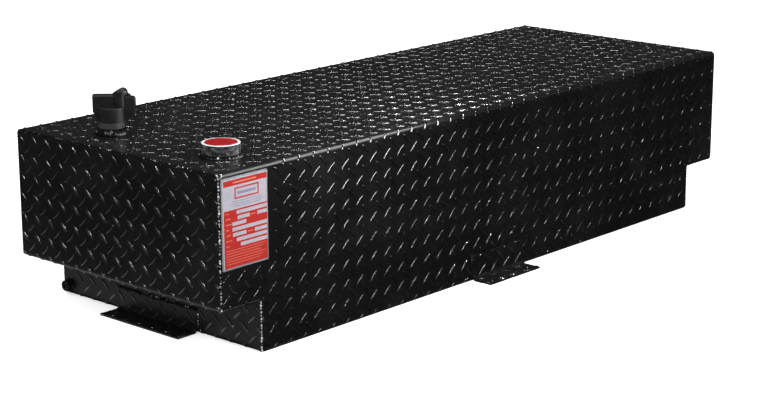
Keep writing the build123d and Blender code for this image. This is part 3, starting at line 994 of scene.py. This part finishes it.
class TANK_OT_run_seams(bpy.types.Operator):
    """Runs the rippled corner seams between the two sheets"""

    bl_idname = "tank.run_seams"
    bl_label = "Run Seams"

    def execute(self, context):
        coat = context.scene.tank_coat
        # Both seam finishes paint highlights on the bead crests; the top seams' painted highlights
        # are fainter
        painted_glint = glint_painted_bead("corner_seam_glint_paint", coat.weld, coat.painted_glint, 0.5, 1.0)
        faint_glint_finish = glint_painted_bead("whole_seam", coat.weld, coat.painted_glint, 0.9, 1.6)
        for piece in seam_beads(context.scene.tank_weld):
            paint(piece, faint_glint_finish if "top" in piece.name else painted_glint)
        return {"FINISHED"}


class TANK_OT_weld_fittings(bpy.types.Operator):
    """Runs the beads round the neck, the port and the drain, and along the feet"""

    bl_idname = "tank.weld_fittings"
    bl_label = "Weld Fittings"

    def execute(self, context):
        settings = context.scene.tank_weld
        coat = context.scene.tank_coat
        # The fitting beads get faint painted highlights on their ripple crests
        finish = glint_painted_bead("bead_coat_glint_paint", coat.weld, coat.painted_glint, 0.9, 2.6)
        to_left = Matrix.Rotation(math.radians(-90), 4, "Y")
        at_drain = Matrix.Translation(DRAIN_AXIS) @ to_left
        fittings = (
            ("neck_bead", "neck_weld", Matrix.Translation(NECK_AXIS), NECK_RADIUS, NECK_BEAD),
            ("port_bead", "bung_weld", Matrix.Translation(PORT_AXIS), PORT_RADIUS, PORT_BEAD),
            ("drain_bead", "drain_weld", at_drain, DRAIN_RADIUS, DRAIN_BEAD),
        )
        pieces = [ring_bead(settings, *fitting) for fitting in fittings]
        for name, (place, length, _, leg) in foot_places().items():
            stitched = name in ("left", "right")
            pieces.append(foot_beads(settings, name, place, length, leg, stitched))
        for piece in pieces:
            paint(piece, finish)
        return {"FINISHED"}


class TANK_OT_fit_port(bpy.types.Operator):
    """Finishes the uncoated port, its thread and the red plug"""

    bl_idname = "tank.fit_port"
    bl_label = "Fit Port"

    def execute(self, context):
        coat = context.scene.tank_coat
        alloy = turned_metal("turned_alloy", coat.alloy, 0.3, PORT_AXIS, 0.00002)
        top = PORT_HIGH.z - PORT_AXIS.z
        collar = masked_collar(
            "masked_collar", coat.collar, coat.alloy, PORT_AXIS, PORT_RADIUS, top
        )
        finish_nodes(collar, "port_bung")
        plug = moulded_plastic("red_plug_plastic", coat.plug, 0.4, 0.000012, 0.2)
        finish_nodes(plug, "port_plug")
        thread = thread_ridge(
            "port_thread", "tank", "bare_alloy", PORT_AXIS, PORT_RADIUS - PORT_WALL, *PORT_THREAD
        )
        paint(thread, alloy)
        return {"FINISHED"}


class TANK_OT_fit_cap(bpy.types.Operator):
    """Finishes every piece of the filler cap and threads the neck"""

    bl_idname = "tank.fit_cap"
    bl_label = "Fit Cap"

    def execute(self, context):
        coat = context.scene.tank_coat
        plastics = (
            ("cap_plastic", coat.cap, 0.33, 0.000014, ("cap_shell", "pivot_plug")),
            ("cover_plastic", coat.cap, 0.38, 0.00001, ("lock_cover",)),
            ("insert_plastic", coat.cap, 0.42, 0.00002, ("cap_insert",)),
            ("nylon", NYLON, 0.5, 0.00001, ("pivot_bush",)),
            ("seal_rubber", RUBBER, 0.75, 0.00003, ("cap_gasket", "vent_valve")),
        )
        for name, colour, roughness, grain, nodes in plastics:
            finish_nodes(moulded_plastic(name, colour, roughness, grain), *nodes)
        lock_axis = Vector([sum(pair) / 2 for pair in zip(*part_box("lock_cylinder"))])
        plated = turned_metal("plated_lock", PLATED_ZINC, 0.2, lock_axis, 0.00001)
        finish_nodes(plated, "lock_cylinder")
        zinc = turned_metal("zinc_steel", ZINC_STEEL, 0.34, NECK_AXIS, 0.00001)
        finish_nodes(zinc, "push_nut", "cover_pin", "lock_cam")
        thread = thread_ridge(
            "neck_thread", "tank", "black_plate", NECK_AXIS, NECK_RADIUS, *NECK_THREAD
        )
        paint(thread, powder_coat("thread_powder_coat", coat.plate, 0.3, 0.00002, 0.2))
        return {"FINISHED"}


class TANK_OT_print_label(bpy.types.Operator):
    """Lays plain fields of colour on the label plate"""

    bl_idname = "tank.print_label"
    bl_label = "Print Label"

    def execute(self, context):
        label_print(context.scene.tank_label)
        return {"FINISHED"}


def area_light(name, place, target, size, power, along, beam=180.0):
    """A soft box or strip that faces its target, its first side along a direction."""
    light = bpy.data.lights.new(name, "AREA")
    light.shape = "RECTANGLE"
    light.size, light.size_y = size
    light.energy = power
    light.spread = math.radians(beam)
    lamp = bpy.data.objects.new(name, light)
    away = (Vector(place) - Vector(target)).normalized()
    first = Vector(along)
    first = (first - away * away.dot(first)).normalized()
    turned = Matrix((first, away.cross(first), away)).transposed()
    lamp.matrix_world = Matrix.Translation(place) @ turned.to_4x4()
    bpy.context.scene.collection.objects.link(lamp)
    return lamp


class TANK_OT_set_stage(bpy.types.Operator):
    """Sets the floor, the studio lights and the camera"""

    bl_idname = "tank.set_stage"
    bl_label = "Set Stage"

    def execute(self, context):
        settings = context.scene.tank_stage
        self.lay_floor(settings)
        self.hang_sky(context, settings)
        self.light_studio(settings)
        self.place_camera(context)
        context.scene.view_settings.view_transform = "Standard"
        return {"FINISHED"}

    def lay_floor(self, settings):
        """A wide floor that the gloss of the coat doesn't see."""
        half = 20.0
        mesh = bpy.data.meshes.new("studio_floor")
        corners = [(-half, -half, 0), (half, -half, 0), (half, half, 0), (-half, half, 0)]
        mesh.from_pydata(corners, [], [(0, 1, 2, 3)])
        floor = bpy.data.objects.new("studio_floor", mesh)
        bpy.context.scene.collection.objects.link(floor)
        floor.visible_glossy = False
        material, _, _ = new_finish(
            "floor_paint", settings.floor, 0.9, Specular_IOR_Level=0.0,
            Emission_Color=(1.0, 1.0, 1.0, 1.0), Emission_Strength=settings.floor_glow,
        )
        paint(floor, material)

    def light_studio(self, settings):
        """Far strips that glint on the lugs, and close lights that the camera doesn't see."""
        middle = (0.0, 0.0, 0.15)
        strips = (
            ("front_key", (-1.2, -5.8, 3.9), (2.0, 0.2), settings.front_power, (1, 0, 1)),
            ("left_key", (-5.1, -1.1, 4.5), (2.2, 0.25), settings.left_power, (0, 1, 1)),
            ("top_key", (1.7, 1.0, 6.8), (3.2, 0.2), settings.top_power, (1, -1, 0)),
            ("edge_fill", (2.4, -1.9, 1.7), (1.6, 1.0), settings.fill_power, (1, 1, 0)),
        )
        for name, place, size, power, along in strips:
            area_light(name, place, middle, size, power, along)
        cap = NECK_AXIS + Vector((0.0, 0.0, 0.07))
        by_cap = cap + Vector((0.3, -0.5, 0.1))
        flange = Vector((0.0, -HALF_WIDTH - 0.025, 0.0))
        over_foot = flange + Vector((0.05, -0.17, 1.8))
        by_step = Vector((-LOWER_END - 0.12, 0.12, 0.0))
        over_step = by_step + Vector((0, 0, 1))
        close = (
            ("cap_fill", by_cap, cap, (0.5, 0.2), settings.cap_power, (1, 0.6, 0)),
            ("foot_key", over_foot, flange, (0.5, 0.04), settings.foot_power, (1, -1, 0), 16.0),
            ("step_bounce", by_step, over_step, (0.9, 0.22), settings.bounce_power, (0, 1, 0)),
        )
        for lamp in close:
            area_light(*lamp).visible_camera = False

    def hang_sky(self, context, settings):
        """A white surround that the gloss of the coat sees as dim."""
        world = bpy.data.worlds.new("studio")
        context.scene.world = world
        world.use_nodes = True
        tree = world.node_tree
        sky = tree.nodes["Background"]
        sky.inputs["Color"].default_value = (1.0, 1.0, 1.0, 1.0)
        direction = tree.nodes.new("ShaderNodeTexCoord")
        level = tree.nodes.new("ShaderNodeSeparateXYZ")
        tree.links.new(direction.outputs["Generated"], level.inputs[0])
        height = spread(tree, level.outputs["Z"], -1.0, 1.0, 0.0, 1.0)
        dim = two_tone(tree, height, (0.2,) * 3, (1.0,) * 3, 0.56, 0.68)
        gloss = spread(tree, dim, 0.0, 1.0, 0.0, settings.sky_in_gloss)
        path = tree.nodes.new("ShaderNodeLightPath")
        strength = tree.nodes.new("ShaderNodeMapRange")
        strength.inputs["To Min"].default_value = settings.sky
        tree.links.new(gloss, strength.inputs["To Max"])
        tree.links.new(path.outputs["Is Glossy Ray"], strength.inputs["Value"])
        tree.links.new(strength.outputs["Result"], sky.inputs["Strength"])

    def place_camera(self, context):
        """The camera of the photograph."""
        camera = bpy.data.cameras.new("photo_camera")
        camera.lens = CAMERA_LENS
        camera.sensor_width = 36.0
        camera.clip_end = 60.0
        eye = bpy.data.objects.new("photo_camera", camera)
        look = CAMERA_LOOK.normalized()
        right = look.cross(CAMERA_UP).normalized()
        turned = Matrix((right, right.cross(look), -look)).transposed()
        eye.matrix_world = Matrix.Translation(CAMERA_PLACE) @ turned.to_4x4()
        context.scene.collection.objects.link(eye)
        context.scene.camera = eye


STEPS = (
    TANK_OT_coat_sheets,
    TANK_OT_lay_tread,
    TANK_OT_run_seams,
    TANK_OT_weld_fittings,
    TANK_OT_fit_port,
    TANK_OT_fit_cap,
    TANK_OT_print_label,
    TANK_OT_set_stage,
)


class TANK_PT_panel(bpy.types.Panel):
    """Lists the steps that dress the tank"""

    bl_idname = "TANK_PT_panel"
    bl_label = "Transfer Tank"
    bl_space_type = "VIEW_3D"
    bl_region_type = "UI"
    bl_category = "Tank"

    def draw(self, context):
        for step in STEPS:
            self.layout.operator(step.bl_idname)


SETTINGS = {
    "tank_tread": TreadSettings,
    "tank_weld": WeldSettings,
    "tank_coat": CoatSettings,
    "tank_label": LabelSettings,
    "tank_stage": StageSettings,
}


def register():
    for name, group in SETTINGS.items():
        bpy.utils.register_class(group)
        setattr(bpy.types.Scene, name, PointerProperty(type=group))
    for step in STEPS:
        bpy.utils.register_class(step)
    bpy.utils.register_class(TANK_PT_panel)


def unregister():
    bpy.utils.unregister_class(TANK_PT_panel)
    for step in reversed(STEPS):
        bpy.utils.unregister_class(step)
    for name, group in reversed(SETTINGS.items()):
        delattr(bpy.types.Scene, name)
        bpy.utils.unregister_class(group)


def main():
    """Runs every step in order."""
    register()
    bpy.ops.tank.coat_sheets()
    bpy.ops.tank.lay_tread()
    bpy.ops.tank.run_seams()
    bpy.ops.tank.weld_fittings()
    bpy.ops.tank.fit_port()
    bpy.ops.tank.fit_cap()
    bpy.ops.tank.print_label()
    bpy.ops.tank.set_stage()


if __name__ == "__main__":
    main()
